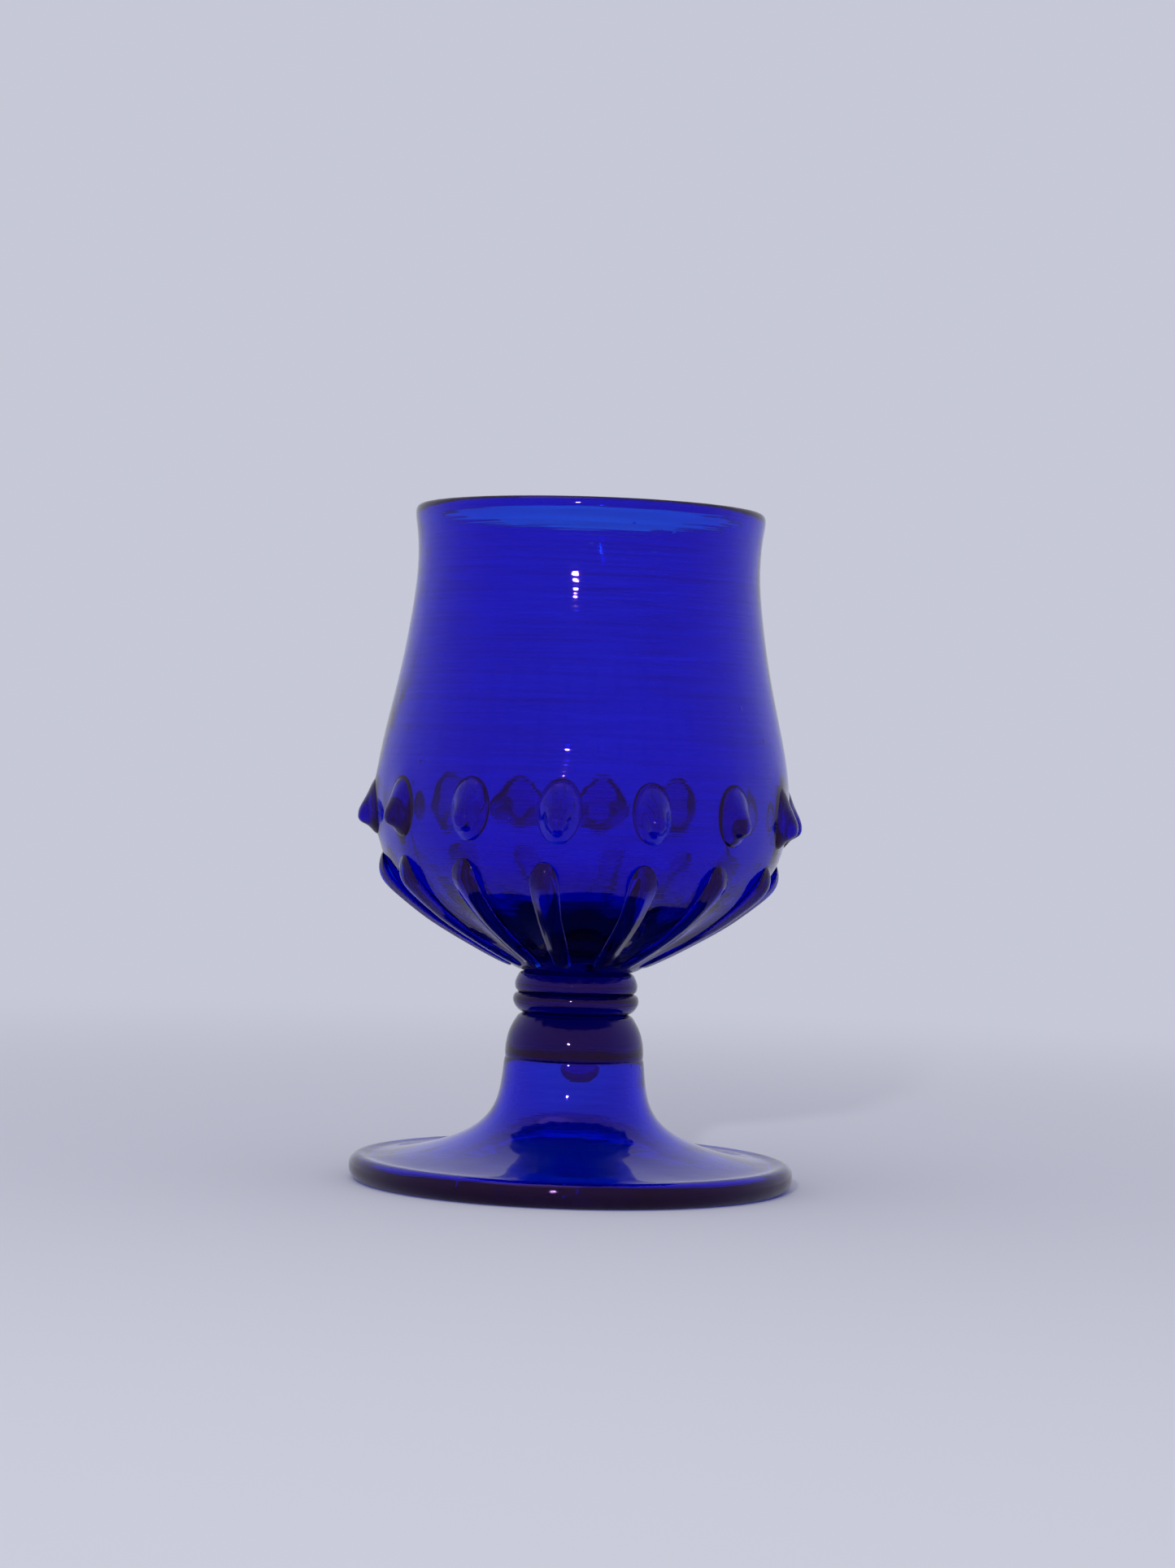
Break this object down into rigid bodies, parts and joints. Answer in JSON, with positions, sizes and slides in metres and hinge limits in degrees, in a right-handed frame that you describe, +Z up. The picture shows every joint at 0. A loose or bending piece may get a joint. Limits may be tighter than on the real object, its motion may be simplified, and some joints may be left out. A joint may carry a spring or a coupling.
{
  "type": "goblet",
  "caption": "Footed blown-glass goblet with a ring of pincered points and a ring of ribs round the bowl, a ringed knop and a hollow spreading foot.",
  "frame": {"origin": "middle of the foot, on the surface that the goblet stands on", "axes": "+Z up along the axis of the glass, towards the lip; -Y is the side the goblet is usually seen from"},
  "size_m": [0.086, 0.086, 0.13],
  "materials": {
    "bowl_glass": "fire-polished, smooth",
    "foot_glass": "fire-polished, smooth",
    "nip_glass": "fire-polished, smooth",
    "rib_glass": "fire-polished, smooth",
    "collar_glass": "fire-polished, smooth",
    "stem_glass": "fire-polished, smooth"
  },
  "bodies": {
    "root": {"bowl": "bowl_glass", "upper_collar": "collar_glass", "lower_collar": "collar_glass", "knop": "stem_glass", "pedestal_foot": "foot_glass", "pontil_scar": "stem_glass", "nip_01": "nip_glass", "nip_02": "nip_glass", "nip_03": "nip_glass", "nip_04": "nip_glass", "nip_05": "nip_glass", "nip_06": "nip_glass", "nip_07": "nip_glass", "nip_08": "nip_glass", "nip_09": "nip_glass", "nip_10": "nip_glass", "nip_11": "nip_glass", "nip_12": "nip_glass", "nip_13": "nip_glass", "nip_14": "nip_glass", "rib_01": "rib_glass", "rib_02": "rib_glass", "rib_03": "rib_glass", "rib_04": "rib_glass", "rib_05": "rib_glass", "rib_06": "rib_glass", "rib_07": "rib_glass", "rib_08": "rib_glass", "rib_09": "rib_glass", "rib_10": "rib_glass", "rib_11": "rib_glass", "rib_12": "rib_glass", "rib_13": "rib_glass", "rib_14": "rib_glass"}
  },
  "joints": []
}
